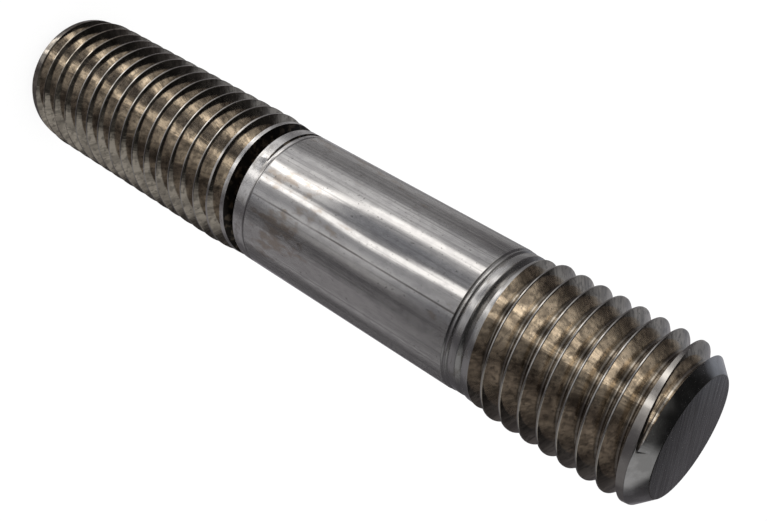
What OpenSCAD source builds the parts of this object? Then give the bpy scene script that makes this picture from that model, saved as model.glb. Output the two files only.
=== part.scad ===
// Double-ended threaded stud, turned from one steel bar.
// It stands on the face of its long nut end, with its axis on Z, and its short tap end is up.
// All lengths are in millimetres.

/* [Stud] */
// Overall length, face to face
stud_length = 119; // [100:1:180]
// Diameter of the plain shank
shank_d = 20.7; // [20:0.1:21.4]
// Diameter of the flat face at each end
face_d = 16.8; // [14:0.1:17]
// Height of the 45 degree chamfer at each end
chamfer = 2.1; // [0.5:0.05:2.1]
// Length of the shallow lead-in taper behind each chamfer
lead_in = 2.6; // [1:0.05:6]

/* [Thread] */
// Diameter over the thread crests
thread_d = 21.7; // [21.4:0.1:22.2]
// Axial distance from one crest to the next
pitch = 2.822; // [2.5:0.001:3]
// Length of the nut end's groove, from the face to where it fades out
nut_thread = 51.8; // [35:0.1:60]
// Length of the tap end's groove, from the face to where it fades out
tap_thread = 27.7; // [20:0.1:35]
// Axial length over which each groove gets shallower and fades out
run_out = 2.6; // [1:0.1:5]
// Where the nut end's groove leaves its face, in degrees round the axis
nut_start = 82; // [0:1:359]
// Where the tap end's groove leaves its face, in degrees round the axis
tap_start = 211; // [0:1:359]

/* [Shoulders] */
// Length of the cone from the nut end's crests down to the shank
nut_cone = 4.6; // [1:0.1:8]
// Length of the cone from the tap end's crests down to the root of the shoulder
tap_cone = 1.5; // [0.5:0.1:4]
// Diameter at the foot of that cone
tap_foot_d = 20.76; // [20.4:0.01:21.2]
// Length of the hollow between the cone and the neck
hollow = 1.8; // [0.5:0.1:4]
// Diameter of the turned neck behind the tap end's thread
neck_d = 20.4; // [19.6:0.05:20.6]
// Length of that neck
neck_length = 1.6; // [0.5:0.1:4]
// How far the tap end's groove runs on past the start of that neck
neck_overlap = 0.7; // [0:0.1:1.5]
// Axial length of each of the two small steps between the neck and the shank
step_length = 0.3; // [0.1:0.05:0.8]
// Length of the narrow land between the two steps
land_length = 0.35; // [0.1:0.05:1]
// Distance of the tool line from the fade-out of the nut end's groove
line_gap = 1.3; // [0.5:0.1:6]
// Width of the tool line round the shank
line_width = 0.4; // [0.1:0.05:1]
// Depth of the tool line
line_depth = 0.05; // [0.02:0.01:0.2]

/* [Hidden] */

// Flat stations of the groove in one turn
steps = 36;
// Half of the angle between the two flanks
flank_angle = 27.5;
shank_r = shank_d / 2;
face_r = face_d / 2;
crest_r = thread_d / 2;
neck_r = neck_d / 2;
land_r = (shank_r + neck_r) / 2;
// Depth of the groove and the flat left on the crests, as shares of the pitch
depth_share = 0.762;
crest_share = 0.078;
groove_depth = depth_share * pitch;
root_flat = (1 - crest_share) * pitch - 2 * groove_depth * tan(flank_angle);
root_r = crest_r - groove_depth;
// The cutter stands proud of the crests, and its neighbouring turns stay clear of each other
cutter_proud = 0.15;
cutter_r = crest_r + cutter_proud;
// The cutter starts this many turns outside the face
start_turns = 1;
// The fade ends with the cutter's tip just clear of the shank
tip_clearance = 0.05;
fade_rise = max(shank_r, neck_r) + tip_clearance - root_r;
round_fn = 144;

// Heights on the nut end, measured up from its face
nut_cone_top = nut_thread - pitch;
line_z = nut_thread + line_gap;
// Heights on the tap end, measured down from its face
neck_top = tap_thread - neck_overlap;
tap_foot = neck_top - hollow;
tap_cone_top = tap_foot - tap_cone;
neck_bottom = neck_top + neck_length;
land_top = neck_bottom + step_length;
land_bottom = land_top + land_length;
shank_top = land_bottom + step_length;

// Radius and height of each corner of the nut end's outline, from the face to the shank
nut_outline = [
    [face_r, 0],
    [face_r + chamfer, chamfer],
    [crest_r, chamfer + lead_in],
    [crest_r, nut_cone_top - nut_cone],
    [shank_r, nut_cone_top],
    [shank_r, line_z],
    [shank_r - line_depth, line_z + line_width / 2],
    [shank_r, line_z + line_width],
];

// The same for the tap end, with its heights measured down from its own face
tap_outline = [
    [face_r, 0],
    [face_r + chamfer, chamfer],
    [crest_r, chamfer + lead_in],
    [crest_r, tap_cone_top],
    [tap_foot_d / 2, tap_foot],
    [neck_r, neck_top],
    [neck_r, neck_bottom],
    [land_r, land_top],
    [land_r, land_bottom],
    [shank_r, shank_top],
];

// How far the cutter has withdrawn at a height above the face
function withdrawn(z, length) = max(0, (z - length + run_out) / run_out) * fade_rise;

// The four corners of the groove's section at one station of the helix
function station(turn, length) =
    let (z = turn * pitch,
         floor_r = root_r + withdrawn(z, length),
         half_in = root_flat / 2,
         half_out = half_in + (cutter_r - floor_r) * tan(flank_angle),
         section = [[floor_r, -half_in], [cutter_r, -half_out], [cutter_r, half_out], [floor_r, half_in]])
    [for (corner = section)
        [corner[0] * cos(turn * 360), corner[0] * sin(turn * 360), z + corner[1]]];

// Right-hand helical groove, cut from outside the face at z = 0 upwards
module thread_groove(length, start_angle) {
    first = -start_turns * steps;
    last = round(length / pitch * steps);
    count = last - first;
    points = [for (i = [first:last]) each station(i / steps, length)];
    sides = [for (i = [0:count - 1], j = [0:3])
        let (here = 4 * i + j, next = 4 * i + (j + 1) % 4)
        each [[here, next, here + 4], [next, next + 4, here + 4]]];
    caps = [[3, 2, 1, 0], [for (j = [0:3]) 4 * count + j]];
    rotate(start_angle)
        polyhedron(points = points, faces = concat(caps, sides), convexity = 10);
}

// The turned bar before its threads are cut
module blank() {
    upper = [for (i = [len(tap_outline) - 1:-1:0]) [tap_outline[i][0], stud_length - tap_outline[i][1]]];
    rotate_extrude($fn = round_fn)
        polygon(concat([[0, 0]], nut_outline, upper, [[0, stud_length]]));
}

module stud() {
    color("#8d8a85")
        difference() {
            blank();
            thread_groove(nut_thread, nut_start);
            translate([0, 0, stud_length])
                rotate([180, 0, 0])
                    thread_groove(tap_thread, tap_start);
        }
}

stud();
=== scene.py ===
from math import atan2, cos, degrees, pi, radians, sin, tan

import bpy
from mathutils import Matrix, Vector


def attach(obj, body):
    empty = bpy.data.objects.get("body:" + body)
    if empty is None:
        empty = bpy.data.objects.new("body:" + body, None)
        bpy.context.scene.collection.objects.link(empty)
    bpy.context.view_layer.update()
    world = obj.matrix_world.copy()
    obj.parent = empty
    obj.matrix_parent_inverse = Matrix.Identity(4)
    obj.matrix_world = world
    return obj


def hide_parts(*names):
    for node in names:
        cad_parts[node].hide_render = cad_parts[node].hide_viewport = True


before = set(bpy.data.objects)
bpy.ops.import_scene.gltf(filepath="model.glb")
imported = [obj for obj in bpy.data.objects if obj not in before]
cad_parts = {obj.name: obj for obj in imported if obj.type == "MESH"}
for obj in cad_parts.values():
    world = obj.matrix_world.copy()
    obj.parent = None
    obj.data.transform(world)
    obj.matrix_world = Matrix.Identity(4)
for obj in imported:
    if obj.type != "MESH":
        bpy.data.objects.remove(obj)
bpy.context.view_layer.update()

mm = 0.001
tiny = 1e-6  # metres, nearer than this is the same place
bpy.context.scene.view_settings.view_transform = "Standard"


def deselectAll():
    if bpy.context.object and bpy.context.object.mode != "OBJECT":
        bpy.ops.object.mode_set(mode="OBJECT")
    bpy.ops.object.select_all(action="DESELECT")


def makeActive(thing):
    deselectAll()
    thing.select_set(True)
    bpy.context.view_layer.objects.active = thing


def applyAll(thing):
    makeActive(thing)
    for modifier in list(thing.modifiers):
        bpy.ops.object.modifier_apply(modifier=modifier.name)


photoView = {
    "eye": (0.0, -138.81 * mm, 154.53 * mm),  # where the camera stands
    "lookAt": (0.57 * mm, 0.0, 70.7 * mm),    # the middle of the picture
    "roll": 120.79,                           # degrees, so the stud lies across the picture
    "lens": 55.11,                            # millimetres, on a sensor as wide as the next number
    "sensor": 36.0,
    "nearest": 5 * mm,                        # what is nearer than this isn't seen
}


def addCamera():
    eye, lookAt = Vector(photoView["eye"]), Vector(photoView["lookAt"])
    level = (lookAt - eye).to_track_quat("-Z", "Y").to_matrix()
    turned = level @ Matrix.Rotation(radians(photoView["roll"]), 3, "Z")
    deselectAll()
    bpy.ops.object.camera_add(location=eye, rotation=turned.to_euler())
    camera = bpy.context.object
    camera.name = "photoCamera"
    camera.data.lens = photoView["lens"]
    camera.data.sensor_width = photoView["sensor"]
    camera.data.clip_start = photoView["nearest"]
    bpy.context.scene.camera = camera


addCamera()
print("camera set")

stud = {
    "length": 119 * mm,
    "shankRadius": 10.35 * mm,
    "faceRadius": 8.4 * mm,
    "crestRadius": 10.85 * mm,
    "pitch": 2.822 * mm,
    "runIn": (1.58 * mm, 2.3 * mm),  # from a face to where its groove begins and is full
    "runOut": 2.6 * mm,           # over which each groove fades out
    "cornerRound": 0.09 * mm,     # eased edges of the turned corners
    "segments": 144,              # round the blank
    "smoothUnder": 32,            # degrees, edges that turn more than this stay sharp
    # the nut end, which stands on the floor
    "nutChamfer": (10.25 * mm, 1.85 * mm),  # outer radius and height
    "nutLeadIn": 5.5 * mm,        # from the face to where the crests reach their full height
    "nutThread": 51.8 * mm,       # from the face to the end of the thread
    "nutTail": 0.45 * mm,         # how much farther the groove goes before it has faded out
    "nutStart": 82,               # degrees round the axis, where the groove leaves the face
    "nutCone": 4.6 * mm,          # taper of the last crests
    "lastCrest": 2.0 * mm,        # the end of that taper has the collar's finish
    "dullCrests": 12.5 * mm,      # the first crests are dull up to here
    "lineGap": 0.8 * mm,          # from the thread's end to the line left by the tool
    "lineWidth": 0.4 * mm,
    "lineDepth": 0.09 * mm,
    # the tap end, at the top, measured down from its own face
    "tapChamfer": 2.1 * mm,       # at 45 degrees
    "tapLeadIn": 2.6 * mm,        # shallow taper behind the chamfer
    "tapThread": 27.7 * mm,
    "tapTail": 0.0,
    "tapStart": 211,
    "tapCone": 1.5 * mm,
    "tapFootRadius": 10.38 * mm,
    "hollow": 1.8 * mm,           # from the cone's foot to the neck
    "neckEarly": 0.7 * mm,        # the neck begins this much before the thread's end
    "neckRadius": 10.2 * mm,
    "neckLength": 1.6 * mm,
    "step": 0.3 * mm,
    "land": 0.35 * mm,
    "toolCut": 0.16 * mm,         # depth of the tool's cut at the foot of both steps
    "cutFrom": 0.09 * mm,         # where the cut begins, before its step
    "cutFoot": 0.05 * mm,         # where it is deepest, past the step's start
    "relief": 0.80 * mm,          # depth of the ring that the tap end's groove runs out into
    "reliefLip": (0.05 * mm, 0.7 * mm),  # the ring's edge, in from the foot and before the neck
    "reliefForm": [               # from the neck's start, and the share of the ring's depth there
        (-0.5 * mm, 1.0),
        (-0.35 * mm, 0.84),
        (0.25 * mm, 0.20),
        (0.44 * mm, 0.0),
        (0.64 * mm, 0.0),
    ],
}
collarFrom = stud["nutThread"] - stud["pitch"]
lineFrom = stud["nutThread"] + stud["lineGap"]

threadForm = {
    "depth": 0.762 * stud["pitch"],
    "halfAngle": 27.5,                 # degrees, between a flank and the radius
    "crestFlat": 0.078 * stud["pitch"],
    "edgeRound": 0.035 * mm,           # eased edges of the crests
    "edgeFrom": 0.1,                   # how far under the crest its edge begins, in edge rounds
    "flankFrom": (2.2, 3.6),           # narrow face at the flank's top, in edge rounds
    "flankTo": 0.05 * mm,              # narrow face at its foot
    "rootRound": 0.24 * mm,
    "proud": 0.08 * mm,                # the cutter's height over the crests
    "clear": 0.05 * mm,                # the withdrawn tip's height over the shank
    "mostOut": 1.3,                    # the cutter is never withdrawn more than this many times that
    "turns": {"nut": 20, "tap": 12},
    "steps": 96,                       # stations in a turn
}
threadForm["rootRadius"] = stud["crestRadius"] - threadForm["depth"]


def turnedOutline():
    # radius and height of each turned corner, from the nut end's face to the tap end's
    lower = [
        (0, 0),
        (stud["faceRadius"], 0),
        stud["nutChamfer"],
        (stud["crestRadius"], stud["nutLeadIn"]),
        (stud["crestRadius"], collarFrom - stud["nutCone"]),
        (stud["shankRadius"], collarFrom),
        (stud["shankRadius"], lineFrom),
        (stud["shankRadius"] - stud["lineDepth"], lineFrom + stud["lineWidth"] / 2),
        (stud["shankRadius"], lineFrom + stud["lineWidth"]),
    ]
    coneTop = stud["tapThread"] - stud["neckEarly"] - stud["hollow"] - stud["tapCone"]
    foot = coneTop + stud["tapCone"]
    neckTop = foot + stud["hollow"]
    neckBottom = neckTop + stud["neckLength"]
    landRadius = (stud["shankRadius"] + stud["neckRadius"]) / 2
    landTop = neckBottom + stud["step"]
    landBottom = landTop + stud["land"]
    lipIn, lipEarly = stud["reliefLip"]
    upper = [
        (0, 0),
        (stud["faceRadius"], 0),
        (stud["faceRadius"] + stud["tapChamfer"], stud["tapChamfer"]),
        (stud["crestRadius"], stud["tapChamfer"] + stud["tapLeadIn"]),
        (stud["crestRadius"], coneTop),
        (stud["tapFootRadius"], foot),
        (stud["tapFootRadius"] - lipIn, neckTop - lipEarly),
    ]
    upper += [(stud["neckRadius"] - share * stud["relief"], neckTop + down)
              for down, share in stud["reliefForm"]]
    upper += [
        (stud["neckRadius"], neckBottom - stud["cutFrom"]),
        (stud["neckRadius"] - stud["toolCut"], neckBottom + stud["cutFoot"]),
        (landRadius, landTop),
        (landRadius, landBottom - stud["cutFrom"]),
        (landRadius - stud["toolCut"], landBottom + stud["cutFoot"]),
        (stud["shankRadius"], landBottom + stud["step"]),
    ]
    return lower + [(radius, stud["length"] - down) for radius, down in reversed(upper)]


def drawLine(name, points, closed=False):
    # one vertex, then extruded from point to point
    deselectAll()
    bpy.ops.mesh.primitive_plane_add(size=mm, location=(0, 0, 0))
    line = bpy.context.object
    line.name = line.data.name = name
    bpy.ops.object.mode_set(mode="EDIT")
    bpy.ops.mesh.select_all(action="SELECT")
    bpy.ops.mesh.merge(type="CENTER")
    bpy.ops.transform.translate(value=points[0])
    for here, following in zip(points, points[1:]):
        step = Vector(following) - Vector(here)
        bpy.ops.mesh.extrude_region_move(TRANSFORM_OT_translate={"value": step})
    if closed:
        bpy.ops.mesh.select_all(action="SELECT")
        bpy.ops.mesh.edge_face_add()
        bpy.ops.mesh.delete(type="ONLY_FACE")
    bpy.ops.object.mode_set(mode="OBJECT")
    return line


def turnBlank():
    blank = drawLine("stud", [(radius, 0, z) for radius, z in turnedOutline()])
    makeActive(blank)
    ends = [v.index for v in blank.data.vertices if v.co.x < tiny]
    bpy.ops.object.mode_set(mode="EDIT")
    bpy.ops.mesh.select_all(action="SELECT")
    bpy.ops.object.mode_set(mode="OBJECT")
    for index in ends:
        blank.data.vertices[index].select = False
    bpy.ops.object.mode_set(mode="EDIT")
    bpy.ops.mesh.bevel(affect="VERTICES", offset=stud["cornerRound"], segments=2, clamp_overlap=True)
    bpy.ops.mesh.select_all(action="SELECT")
    bpy.ops.mesh.spin(steps=stud["segments"], angle=2 * pi, center=(0, 0, 0), axis=(0, 0, 1))
    bpy.ops.mesh.select_all(action="SELECT")
    bpy.ops.mesh.remove_doubles(threshold=tiny)
    bpy.ops.mesh.normals_make_consistent(inside=False)
    bpy.ops.object.mode_set(mode="OBJECT")
    return blank


def grooveSection():
    # half of the groove, from the crest's edge down the flank to the middle of the root
    form = threadForm
    slope = tan(radians(form["halfAngle"]))
    crest, root, edge, bend = stud["crestRadius"], form["rootRadius"], form["edgeRound"], form["rootRound"]
    lipWidth = (stud["pitch"] - form["crestFlat"]) / 2

    def halfWidth(radius):
        return lipWidth - (crest - radius) * slope

    # the root's flat runs into the flank by an arc that is tangent to both
    tangent = radians(90 - form["halfAngle"])
    arcMiddle = halfWidth(root) - bend * tan(tangent / 2)
    rootArc = [(root + bend * (1 - cos(tangent * share)), arcMiddle + bend * sin(tangent * share))
               for share in (1.0, 0.75, 0.5, 0.25, 0.0)]
    # narrow faces at both ends of the flank keep its shading flat between its bends
    flank = [crest - rounds * edge for rounds in form["flankFrom"]] + [rootArc[0][0] + form["flankTo"]]
    half = [
        (crest + form["proud"], lipWidth + edge),
        (crest - form["edgeFrom"] * edge, lipWidth + edge),
        (crest - edge, lipWidth),
    ] + [(radius, halfWidth(radius)) for radius in flank] + rootArc + [(root, 0.0)]
    return [(r, -w) for r, w in half] + [(r, w) for r, w in reversed(half[:-1])]


def withdrawn(z, length):
    # the cutter moves outwards over the first and last stretch, until its tip clears the bar
    rise = stud["shankRadius"] + threadForm["clear"] - threadForm["rootRadius"]
    begin, full = stud["runIn"]
    early = (full - z) / (full - begin)
    late = (z - length + stud["runOut"]) / stud["runOut"]
    return max(0.0, late, min(threadForm["mostOut"], early)) * rise


def sweepCutter(end):
    # the section is drawn outside the face and screwed up to where the groove ends
    form = threadForm
    section = grooveSection()
    turns = form["turns"][end]
    length = stud[end + "Thread"] + stud[end + "Tail"]
    last = radians(stud[end + "Start"] + 360 * length / stud["pitch"])
    first = length - turns * stud["pitch"]
    points = [(r * cos(last), r * sin(last), first + z) for r, z in section]
    cutter = drawLine(end + "Groove", points, closed=True)
    screw = cutter.modifiers.new("thread", "SCREW")
    screw.axis = "Z"
    screw.angle = 2 * pi
    screw.screw_offset = stud["pitch"]
    screw.iterations = turns
    screw.steps = screw.render_steps = form["steps"]
    applyAll(cutter)
    for vertex in cutter.data.vertices:
        station = vertex.index // len(section)
        z = first + station * stud["pitch"] / form["steps"]
        outwards = Vector((vertex.co.x, vertex.co.y, 0)).normalized()
        vertex.co += outwards * withdrawn(z, length)
    bpy.ops.object.mode_set(mode="EDIT")
    bpy.ops.mesh.select_all(action="SELECT")
    bpy.ops.mesh.fill_holes(sides=0)
    bpy.ops.mesh.select_all(action="SELECT")
    bpy.ops.mesh.normals_make_consistent(inside=False)
    if end == "tap":
        bpy.ops.transform.rotate(value=pi, orient_axis="X", center_override=(0, 0, stud["length"] / 2))
    bpy.ops.object.mode_set(mode="OBJECT")
    return cutter


def cutAway(blank, cutter):
    cut = blank.modifiers.new("cut", "BOOLEAN")
    cut.operation = "DIFFERENCE"
    cut.solver = "EXACT"
    cut.object = cutter
    applyAll(blank)
    deselectAll()
    cutter.select_set(True)
    bpy.ops.object.delete()


def makeStud():
    blank = turnBlank()
    print("blank turned,", len(blank.data.polygons), "faces")
    for end in ("nut", "tap"):
        cutAway(blank, sweepCutter(end))
        print(end, "groove cut,", len(blank.data.polygons), "faces")
    makeActive(blank)
    bpy.ops.object.shade_smooth_by_angle(angle=radians(stud["smoothUnder"]))
    return blank


studPiece = makeStud()


def addNode(tree, kind, settings=None, **inputs):
    # an input is given by its name, or as n0, n1 and so on by its place
    new = tree.nodes.new("ShaderNode" + kind)
    for name, value in (settings or {}).items():
        setattr(new, name, value)
    for name, value in inputs.items():
        key = int(name[1:]) if name[0] == "n" and name[1:].isdigit() else name.replace("_", " ")
        socket = new.inputs[key]
        if isinstance(value, bpy.types.NodeSocket):
            tree.links.new(value, socket)
        else:
            socket.default_value = value
    return new


def maths(tree, operation, a, b=0.0, c=0.0):
    return addNode(tree, "Math", {"operation": operation}, n0=a, n1=b, n2=c).outputs[0]


def plus(tree, a, b):
    return maths(tree, "ADD", a, b)


def times(tree, a, b):
    return maths(tree, "MULTIPLY", a, b)


def apart(tree, a, b):
    return maths(tree, "ABSOLUTE", maths(tree, "SUBTRACT", a, b))


def vectorMaths(tree, operation, a, b):
    return addNode(tree, "VectorMath", {"operation": operation}, n0=a, n1=b).outputs[0]


def ramp(tree, value, low, high, toLow=0.0, toHigh=1.0):
    # goes softly from toLow to toHigh as the value goes from low to high
    return addNode(tree, "MapRange", {"interpolation_type": "SMOOTHSTEP"}, Value=value,
                   From_Min=low, From_Max=high, To_Min=toLow, To_Max=toHigh).outputs[0]


def mixColour(tree, factor, a, b):
    return addNode(tree, "Mix", {"data_type": "RGBA"}, n0=factor, n6=a, n7=b).outputs[2]


def marked(tree, colour, noise, mark):
    # a mark has the noise's value where it begins and where it is full, its strength and its colour
    begin, full, strength, shade = mark
    return mixColour(tree, ramp(tree, noise, begin, full, 0.0, strength), colour, shade)


def grain(tree, scale, detail, stretch=(1, 1, 1), place=None):
    # noise on the stud's own coordinates, long along an axis where its stretch is small
    if place is None:
        place = addNode(tree, "TexCoord").outputs["Object"]
    squeezed = vectorMaths(tree, "MULTIPLY", place, stretch)
    return addNode(tree, "TexNoise", Vector=squeezed, Scale=scale, Detail=detail).outputs["Fac"]


def rings(tree, up, scale, detail):
    # fine rings round the axis, as a turning tool leaves them
    noise = addNode(tree, "TexNoise", {"noise_dimensions": "1D"}, W=up, Scale=scale, Detail=detail)
    return noise.outputs["Fac"]


def axisParts(tree):
    # distance from the axis, the two parts of the direction away from it, and height
    place = addNode(tree, "SeparateXYZ", n0=addNode(tree, "TexCoord").outputs["Object"]).outputs
    squares = [times(tree, place[i], place[i]) for i in (0, 1)]
    radius = maths(tree, "SQRT", plus(tree, squares[0], squares[1]))
    aside = [maths(tree, "DIVIDE", place[i], radius) for i in (0, 1)]
    return radius, aside, place[2]


def sweptNoise(tree, aside, height, fine, scale, detail):
    # noise with long thin cells: fine is its density round the axis, height goes in ready scaled
    across = [times(tree, part, fine) for part in aside]
    place = addNode(tree, "CombineXYZ", X=across[0], Y=across[1], Z=height).outputs[0]
    noise = addNode(tree, "TexNoise", Vector=place, Scale=scale, Detail=detail, Roughness=0.65)
    return noise.outputs["Fac"]


def roundFrom(tree, aside, side):
    # how far round a place is from the side with that angle, as a sine
    angle = radians(side)
    return maths(tree, "SUBTRACT", times(tree, aside[1], cos(angle)), times(tree, aside[0], sin(angle)))


def newSteel(name):
    material = bpy.data.materials.new(name)
    material.use_nodes = True
    return material, material.node_tree


def sheen(tree, noise, roughness):
    # from the brightest roughness to the dullest
    return ramp(tree, noise, 0.3, 0.7, *roughness)


def finishSteel(material, colour, rough, height, bump, metallic=1.0):
    # bump is how strongly the height shows and how deep it is
    tree = material.node_tree
    shader = tree.nodes["Principled BSDF"]
    shader.inputs["Metallic"].default_value = metallic
    relief = addNode(tree, "Bump", Height=height, Strength=bump[0], Distance=bump[1]).outputs[0]
    for name, output in (("Base Color", colour), ("Roughness", rough), ("Normal", relief)):
        tree.links.new(output, shader.inputs[name])
    return material


shankLooks = {
    "grains": {                   # scale, detail and stretch
        "streak": (2600, 3, (1, 1, 0.010)),
        "band": (700, 2, (1, 1, 0.012)),
        "patch": (260, 4, (1, 1, 0.4)),
        "mottle": (1100, 4, (1, 1, 0.5)),
        "stain": (110, 3, (1, 1, 0.5)),
        "speck": (3200, 2),
    },
    "rings": (5200, 3.0),         # scale and detail
    "scratch": (14.0, 40.0, 1.0, 2.0),  # density along and round the axis, scale and detail
    "dull": (0.60, 0.585, 0.57, 1),
    # marks over it, each with where its noise begins and is full, its strength and its colour
    "bright": (0.35, 0.65, 1.0, (0.72, 0.705, 0.685, 1)),
    "mottled": (0.42, 0.62, 0.5, (0.50, 0.485, 0.48, 1)),
    "stained": (0.84, 0.96, 0.75, (0.46, 0.39, 0.325, 1)),
    "streaked": (0.53, 0.64, 0.5, (0.38, 0.37, 0.365, 1)),
    "scratched": (0.66, 0.70, 0.6, (0.25, 0.235, 0.22, 1)),
    "pitted": (0.66, 0.72, 1.0, (0.25, 0.24, 0.23, 1)),
    "stainRagged": 0.5,           # share of the mottling in the stains' outline
    "tanSide": -104,              # degrees round the axis, where the shank is stained most
    "tanAround": (0.08, 0.20),    # how far round it is full and has gone, as sines
    "tanMiddle": 58.5 * mm,
    "tanReach": 7.5 * mm,
    "tanCore": 0.4,               # share of its reach over which it is full
    "tanStrength": 0.12,
    "longSide": -80.3,            # degrees round the axis, where the long scratch is
    "longWidth": (0.004, 0.018),  # half of it, where it is full and has gone, as sines
    "longWander": 0.02,
    "longDepth": (0.75, 1.15, 0.25, 0.95),  # from faint to deep as its noise rises
    "longColour": (0.20, 0.185, 0.175, 1),
    "roughness": (0.06, 0.12),
    "dimmed": (0.4, 0.7, 0.0, 0.08),  # roughness that the patches add
    "relief": {"streak": 0.35, "ring": 0.16, "mottle": 0.35},  # added to the bands' height
    "bump": (0.5, 0.012 * mm),    # strength and depth
    "metallic": 0.95,
}


def tanPatch(tree, aside, up):
    # where the shank is stained most, beside the nut end's collar
    looks = shankLooks
    sideways = maths(tree, "ABSOLUTE", roundFrom(tree, aside, looks["tanSide"]))
    around = ramp(tree, sideways, *looks["tanAround"], 1.0, 0.0)
    upwards = apart(tree, up, looks["tanMiddle"])
    along = ramp(tree, upwards, looks["tanCore"] * looks["tanReach"], looks["tanReach"], 1.0, 0.0)
    return times(tree, around, along)


def longScratch(tree, aside, streak, patch):
    # one scratch runs down the whole shank, deeper here and fainter there
    looks = shankLooks
    wander = times(tree, maths(tree, "SUBTRACT", patch, 0.5), looks["longWander"])
    across = plus(tree, roundFrom(tree, aside, looks["longSide"]), wander)
    line = ramp(tree, maths(tree, "ABSOLUTE", across), *looks["longWidth"], 1.0, 0.0)
    return times(tree, line, ramp(tree, plus(tree, patch, streak), *looks["longDepth"]))


def shankSteel():
    # polished along its length, with scratches, small pits and a few tan stains
    material, tree = newSteel("shankSteel")
    looks = shankLooks
    _, aside, up = axisParts(tree)
    noise = {name: grain(tree, *kind) for name, kind in looks["grains"].items()}
    noise["ring"] = rings(tree, up, *looks["rings"])
    along, *swept = looks["scratch"]
    scratch = sweptNoise(tree, aside, times(tree, up, along), *swept)
    stain = plus(tree, noise["stain"], times(tree, noise["mottle"], looks["stainRagged"]))
    stain = plus(tree, stain, times(tree, tanPatch(tree, aside, up), looks["tanStrength"]))

    colour = marked(tree, looks["dull"], noise["band"], looks["bright"])
    colour = marked(tree, colour, noise["mottle"], looks["mottled"])
    colour = marked(tree, colour, stain, looks["stained"])
    colour = marked(tree, colour, noise["streak"], looks["streaked"])
    colour = marked(tree, colour, scratch, looks["scratched"])
    line = longScratch(tree, aside, noise["streak"], noise["patch"])
    colour = mixColour(tree, line, colour, looks["longColour"])
    colour = marked(tree, colour, noise["speck"], looks["pitted"])

    dimmed = ramp(tree, noise["patch"], *looks["dimmed"])
    rough = plus(tree, sheen(tree, noise["streak"], looks["roughness"]), dimmed)
    height = noise["band"]
    for name, share in looks["relief"].items():
        height = plus(tree, height, times(tree, noise[name], share))
    return finishSteel(material, colour, rough, height, looks["bump"], looks["metallic"])


threadLooks = {
    "grains": {                   # scale and detail
        "patch": (420, 4),
        "speck": (2600, 2),
        "pit": (1300, 3),
        "rust": (900, 4),
    },
    "chatter": (9.0, 1.6, 4.0),   # density round the axis, scale and detail
    "chatterTurn": 0.5,           # how much it changes in a turn
    "dull": (0.51, 0.455, 0.385, 1),
    "bright": (0.38, 0.60, 1.0, (0.78, 0.70, 0.59, 1)),
    "pitted": (0.50, 0.66, 0.6, (0.25, 0.225, 0.195, 1)),
    "chattered": (0.50, 0.34, 0.45, (0.20, 0.18, 0.15, 1)),
    "rootDirtAndShade": (0.30 * mm, 0.02 * mm, 0.5, (0.13, 0.115, 0.095, 1)),  # from heights over the root; dirt there, and painted shade darkening the groove's bottom
    "specked": (0.68, 0.76, 1.0, (0.20, 0.17, 0.14, 1)),
    "black": (0.045, 0.04, 0.036, 1),
    "rusted": (0.48, 0.68, 1.0, (0.26, 0.21, 0.16, 1)),
    "grimeAndShadeTurns": (1.6, 1.3),     # turns before the nut groove's end where its grime and painted shade begin and are full
    "grimeAndShadeRagged": 0.6,           # share of the rust's noise in the outline of the grime and painted shade
    "grimeAndShadeEdge": (0.45, 0.85),    # where it begins and is full
    "grimeAndShadeDulls": 0.28,           # roughness that it adds
    "roughness": (0.07, 0.14),
    "bump": (0.6, 0.035 * mm),
}


def threadSteel():
    material, tree = newSteel("threadSteel")
    looks = threadLooks
    radius, aside, up = axisParts(tree)
    noise = {name: grain(tree, *kind) for name, kind in looks["grains"].items()}
    # chatter marks run across the flanks, and differ from turn to turn
    turn = times(tree, up, looks["chatterTurn"] / stud["pitch"])
    chatter = sweptNoise(tree, aside, turn, *looks["chatter"])
    colour = marked(tree, looks["dull"], noise["patch"], looks["bright"])
    colour = marked(tree, colour, noise["pit"], looks["pitted"])
    colour = marked(tree, colour, chatter, looks["chattered"])
    # the groove's root is darkened: partly dirt, partly painted shade
    begin, full, strength, shade = looks["rootDirtAndShade"]
    root = threadForm["rootRadius"]
    colour = marked(tree, colour, radius, (root + begin, root + full, strength, shade))
    colour = marked(tree, colour, noise["speck"], looks["specked"])
    # the nut end's groove is black and rusty where it runs out: rust and grime, with painted shade for its
    # dark deep flank
    black = marked(tree, looks["black"], noise["rust"], looks["rusted"])
    grimeAndShade = addNode(tree, "Attribute", {"attribute_name": "grimeAndShade"}).outputs["Fac"]
    grimeAndShade = plus(tree, grimeAndShade, times(tree, noise["rust"], looks["grimeAndShadeRagged"]))
    grimeAndShade = ramp(tree, grimeAndShade, *looks["grimeAndShadeEdge"])
    colour = mixColour(tree, grimeAndShade, colour, black)
    rough = sheen(tree, noise["patch"], looks["roughness"])
    rough = plus(tree, rough, times(tree, grimeAndShade, looks["grimeAndShadeDulls"]))
    return finishSteel(material, colour, rough, chatter, looks["bump"])


crestLooks = {
    "grain": (700, 3),
    "dull": (0.50, 0.475, 0.44, 1),
    "bright": (0.76, 0.73, 0.69, 1),
    "roughness": (0.16, 0.26),
    "bump": (0.5, 0.02 * mm),
}


def crestSteel():
    material, tree = newSteel("crestSteel")
    looks = crestLooks
    patch = grain(tree, *looks["grain"])
    colour = mixColour(tree, patch, looks["dull"], looks["bright"])
    return finishSteel(material, colour, sheen(tree, patch, looks["roughness"]), patch, looks["bump"])


faceLooks = {
    "lay": -48.8,                 # degrees, the way the facing marks run
    "grain": (4200, 3.0, (0.03, 1, 1)),
    "dull": (0.46, 0.46, 0.46, 1),
    "bright": (0.35, 0.65, 1.0, (0.90, 0.90, 0.90, 1)),
    "roughness": (0.20, 0.30),
    "bump": (0.5, 0.01 * mm),
}


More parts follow.
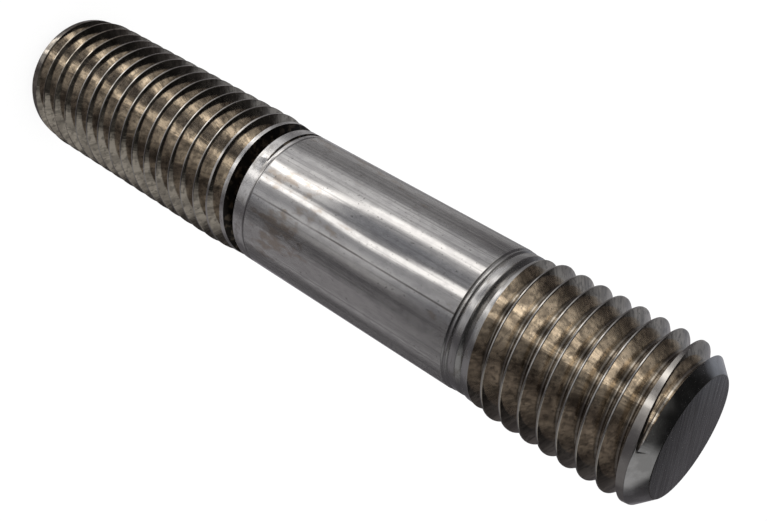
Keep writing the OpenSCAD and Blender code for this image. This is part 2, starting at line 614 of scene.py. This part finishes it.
def faceSteel():
    material, tree = newSteel("faceSteel")
    looks = faceLooks
    place = addNode(tree, "TexCoord").outputs["Object"]
    lay = radians(looks["lay"])
    turned = addNode(tree, "VectorRotate", {"rotation_type": "Z_AXIS"}, Vector=place, Angle=lay)
    line = grain(tree, *looks["grain"], turned.outputs[0])
    colour = marked(tree, looks["dull"], line, looks["bright"])
    return finishSteel(material, colour, sheen(tree, line, looks["roughness"]), line, looks["bump"])


collarLooks = {
    "rings": (9000, 2.0),
    "ringRelief": 0.25,
    "stain": (900.0, 3.0, 1.5, 3.0),  # density along and round the axis, scale and detail
    "mottle": (1500, 4),
    "mottleLeast": 0.15,          # its strength at the tap end
    "dull": (0.50, 0.49, 0.48, 1),
    "bright": (0.62, 0.61, 0.595, 1),
    "nutBright": (70 * mm, 50 * mm, 0.8, (0.86, 0.84, 0.82, 1)),  # from heights on the stud
    "stained": (0.52, 0.68, 0.45, (0.30, 0.27, 0.23, 1)),
    "mottled": (0.46, 0.60, 0.4, (0.46, 0.445, 0.43, 1)),
    "linePaintedShade": (0.15 * mm, 0.03 * mm, 0.75, (0.10, 0.09, 0.085, 1)),  # from the line's middle; painted shade in the tool line's groove
    "roughness": (0.19, 0.29),
    "bump": (0.6, 0.02 * mm),
}


def collarSteel():
    # fine rings left by the tool, and a few stains
    material, tree = newSteel("collarSteel")
    looks = collarLooks
    _, aside, up = axisParts(tree)
    ring = rings(tree, up, *looks["rings"])
    along, *swept = looks["stain"]
    stain = sweptNoise(tree, aside, times(tree, up, along), *swept)
    begin, full, strength, shade = looks["nutBright"]
    nutSide = ramp(tree, up, begin, full, 0.0, strength)
    mottle = times(tree, grain(tree, *looks["mottle"]), plus(tree, nutSide, looks["mottleLeast"]))
    inLine = apart(tree, up, lineFrom + stud["lineWidth"] / 2)
    colour = mixColour(tree, ring, looks["dull"], looks["bright"])
    colour = mixColour(tree, nutSide, colour, shade)
    colour = marked(tree, colour, stain, looks["stained"])
    colour = marked(tree, colour, mottle, looks["mottled"])
    # painted shade darkens the tool line's groove
    colour = marked(tree, colour, inLine, looks["linePaintedShade"])
    height = plus(tree, times(tree, ring, looks["ringRelief"]), mottle)
    return finishSteel(material, colour, sheen(tree, stain, looks["roughness"]), height, looks["bump"])


chamferLooks = {
    "grain": (500, 3),
    "dull": (0.60, 0.59, 0.58, 1),
    "bright": (0.4, 0.65, 1.0, (0.80, 0.79, 0.78, 1)),
    "roughness": (0.14, 0.22),
    "bump": (0.4, 0.015 * mm),
}


def chamferSteel():
    material, tree = newSteel("chamferSteel")
    looks = chamferLooks
    patch = grain(tree, *looks["grain"])
    colour = marked(tree, looks["dull"], patch, looks["bright"])
    return finishSteel(material, colour, sheen(tree, patch, looks["roughness"]), patch, looks["bump"])


def blankRadius(height, outline):
    for (lowRadius, low), (highRadius, high) in zip(outline, outline[1:]):
        if high > low and low <= height <= high:
            return lowRadius + (highRadius - lowRadius) * (height - low) / (high - low)
    return 0.0


def grooveLength(place):
    # how far along the nut end's groove a place is, as the height of the groove's middle there
    around = (degrees(atan2(place.y, place.x)) - stud["nutStart"]) / 360
    return (around + round(place.z / stud["pitch"] - around)) * stud["pitch"]


def markGrimeAndShade(mesh):
    # how much grime and painted shade each vertex has, for the thread's material
    begin, full = [stud["nutThread"] - turns * stud["pitch"] for turns in threadLooks["grimeAndShadeTurns"]]
    grimeAndShade = mesh.attributes.new("grimeAndShade", "FLOAT", "POINT")
    for vertex in mesh.vertices:
        reached = (grooveLength(vertex.co) - begin) / (full - begin)
        if vertex.co.z < lineFrom:
            grimeAndShade.data[vertex.index].value = min(1.0, max(0.0, reached))


surfaces = {
    "faceUp": 0.98,               # a normal this much along the axis belongs to an end face
    "grooveUnder": 0.03 * mm,     # a place this far under the blank's surface is in a groove
}


def paintStud():
    mesh = studPiece.data
    mesh.materials.clear()
    finishes = (shankSteel, threadSteel, crestSteel, faceSteel, collarSteel, chamferSteel)
    for finish in finishes:
        mesh.materials.append(finish())
    shank, thread, crest, face, collar, chamfer = range(len(finishes))
    markGrimeAndShade(mesh)
    outline = turnedOutline()
    neck = stud["length"] - stud["tapThread"] + stud["neckEarly"]
    shankTop = neck - stud["neckLength"] - 2 * stud["step"] - stud["land"]
    chamferHeights = stud["nutChamfer"][1], stud["length"] - stud["tapChamfer"]
    for polygon in mesh.polygons:
        place = polygon.center
        radius = place.to_2d().length
        inGroove = radius < blankRadius(place.z, outline) - surfaces["grooveUnder"]
        if abs(polygon.normal.z) > surfaces["faceUp"] and radius < stud["faceRadius"]:
            polygon.material_index = face
        elif inGroove:
            polygon.material_index = thread
        elif not chamferHeights[0] < place.z < chamferHeights[1]:
            polygon.material_index = chamfer
        elif place.z < stud["dullCrests"]:
            polygon.material_index = thread
        elif place.z < collarFrom - stud["lastCrest"] or place.z > neck + stud["hollow"]:
            polygon.material_index = crest
        elif place.z < lineFrom + stud["lineWidth"] or place.z > shankTop:
            polygon.material_index = collar
        else:
            polygon.material_index = shank


paintStud()
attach(studPiece, "root")
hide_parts("stud")
print("stud painted,", len(studPiece.data.polygons), "faces")

palePaper = {
    "size": 6.0,                  # metres
    "colour": (0.16, 0.16, 0.16, 1),
    "glow": (1, 1, 1, 1),
    "glowStrength": 0.87,
    "roughness": 0.9,
}


def addFloor():
    deselectAll()
    bpy.ops.mesh.primitive_plane_add(size=palePaper["size"], location=(0, 0, 0))
    floor = bpy.context.object
    floor.name = "floor"
    material = bpy.data.materials.new("palePaper")
    material.use_nodes = True
    shader = material.node_tree.nodes["Principled BSDF"]
    shader.inputs["Base Color"].default_value = palePaper["colour"]
    shader.inputs["Emission Color"].default_value = palePaper["glow"]
    shader.inputs["Emission Strength"].default_value = palePaper["glowStrength"]
    shader.inputs["Roughness"].default_value = palePaper["roughness"]
    shader.inputs["Specular IOR Level"].default_value = 0.0
    floor.data.materials.append(material)
    floor.visible_glossy = False


warm, white = (1.0, 0.98, 0.95), (1.0, 1.0, 1.0)
cool, lilac = (0.88, 0.96, 1.10), (1.02, 0.96, 1.04)
# Soft panels round the stud. Sides are degrees from the camera's side, rising with -X;
# heights are degrees over the horizon. Each has its half width, its half height and its soft edge.
# A strip with a bend stands aside near one height: that height, how far round it, and how much.
studioPanels = [
    # a fill from below
    {"side": 31, "half": 24, "height": -66, "tall": 22, "soft": 12, "light": 0.30, "tint": warm},
    {"side": 34, "half": 8, "height": -44, "tall": 5, "soft": 8, "light": 0.50, "tint": warm},
    # the narrow strip, then the broad one
    {"side": 11, "half": 3, "height": -35, "tall": 44, "soft": 5, "light": 1.10, "tint": warm,
     "bend": (-28, 12, -7)},
    {"side": 53, "half": 3, "height": -35, "tall": 50, "soft": 7, "light": 1.15, "tint": warm,
     "bend": (-41, 13, -16)},
    # glows beside the strips, and behind
    {"side": -4, "half": 12, "height": -40, "tall": 46, "soft": 14, "light": 0.17, "tint": warm},
    {"side": 43, "half": 3, "height": -22, "tall": 24, "soft": 7, "light": 0.20, "tint": warm},
    {"side": 66, "half": 8, "height": -25, "tall": 34, "soft": 22, "light": 0.18, "tint": warm},
    {"side": 70, "half": 10, "height": -34, "tall": 5, "soft": 14, "light": 0.16, "tint": warm},
    {"side": 100, "half": 40, "height": -34, "tall": 5, "soft": 14, "light": 0.12, "tint": white},
    {"side": -90, "half": 16, "height": -34, "tall": 5, "soft": 14, "light": 0.06, "tint": lilac},
    # the shoulders' light
    {"side": 27, "half": 48, "height": -52, "tall": 30, "soft": 24, "light": 0.10, "tint": cool},
    {"side": -28, "half": 6, "height": -32, "tall": 4, "soft": 12, "light": 0.23, "tint": warm},
    {"side": -90, "half": 16, "height": -20, "tall": 24, "soft": 14, "light": 0.08, "tint": white},
    {"side": 148, "half": 14, "height": -30, "tall": 22, "soft": 12, "light": 0.13, "tint": white},
    {"side": 180, "half": 14, "height": -32, "tall": 22, "soft": 14, "light": 0.16, "tint": lilac},
    # windows round the horizon
    {"side": 40, "half": 34, "height": 12, "tall": 14, "soft": 22, "light": 0.18, "tint": warm},
    {"side": 152, "half": 13, "height": 12, "tall": 12, "soft": 12, "light": 0.17, "tint": cool},
    {"side": -100, "half": 22, "height": 44, "tall": 17, "soft": 11, "light": 0.27, "tint": white},
    # a skylight
    {"side": 0, "half": 60, "height": 64, "tall": 7, "soft": 8, "light": 0.05, "tint": warm},
]
studioRoom = {
    "level": (0.088, 0.084, 0.090, 1),  # between the panels, at the horizon and below
    "overhead": (0.010, 0.010, 0.010, 1),
    "overheadFrom": 50,                 # degrees over the horizon
    "darkest": (0.01, 0.01, 0.01),
    "paper": (1.12, 1.12, 1.12, 1),     # what the camera and dull surfaces see instead
}


def lightStudio():
    world = bpy.data.worlds.new("studio")
    bpy.context.scene.world = world
    world.use_nodes = True
    world.cycles.sampling_method = "NONE"
    tree = world.node_tree
    tree.nodes.clear()
    towards = addNode(tree, "TexCoord").outputs["Generated"]
    x, y, z = addNode(tree, "SeparateXYZ", n0=towards).outputs
    sideways = maths(tree, "ARCTAN2", times(tree, x, -1.0), times(tree, y, -1.0))
    upwards = maths(tree, "ARCSINE", z)
    high = ramp(tree, upwards, 0.0, radians(studioRoom["overheadFrom"]))
    total = mixColour(tree, high, studioRoom["level"], studioRoom["overhead"])
    for panel in studioPanels:
        side, half, height, tall, soft = [
            radians(panel[name]) for name in ("side", "half", "height", "tall", "soft")
        ]
        away = maths(tree, "SUBTRACT", sideways, side)
        if "bend" in panel:
            bendHeight, reach, aside = [radians(angle) for angle in panel["bend"]]
            near = apart(tree, upwards, bendHeight)
            away = maths(tree, "SUBTRACT", away, ramp(tree, near, 0.0, reach, aside, 0.0))
        away = maths(tree, "ABSOLUTE", maths(tree, "WRAP", away, pi, -pi))
        across = ramp(tree, away, half, half + soft, 1.0, 0.0)
        along = ramp(tree, apart(tree, upwards, height), tall, tall + soft, 1.0, 0.0)
        amount = times(tree, times(tree, across, along), panel["light"])
        glow = addNode(tree, "VectorMath", {"operation": "SCALE"}, n0=panel["tint"], Scale=amount)
        total = vectorMaths(tree, "ADD", total, glow.outputs[0])
    total = vectorMaths(tree, "MAXIMUM", total, studioRoom["darkest"])
    path = addNode(tree, "LightPath").outputs
    plain = maths(tree, "MAXIMUM", path["Is Camera Ray"], path["Is Diffuse Ray"])
    shown = mixColour(tree, plain, total, studioRoom["paper"])
    sky = addNode(tree, "Background", Color=shown, Strength=1.0)
    addNode(tree, "OutputWorld", Surface=sky.outputs[0])


addFloor()
lightStudio()
print("floor and light set")
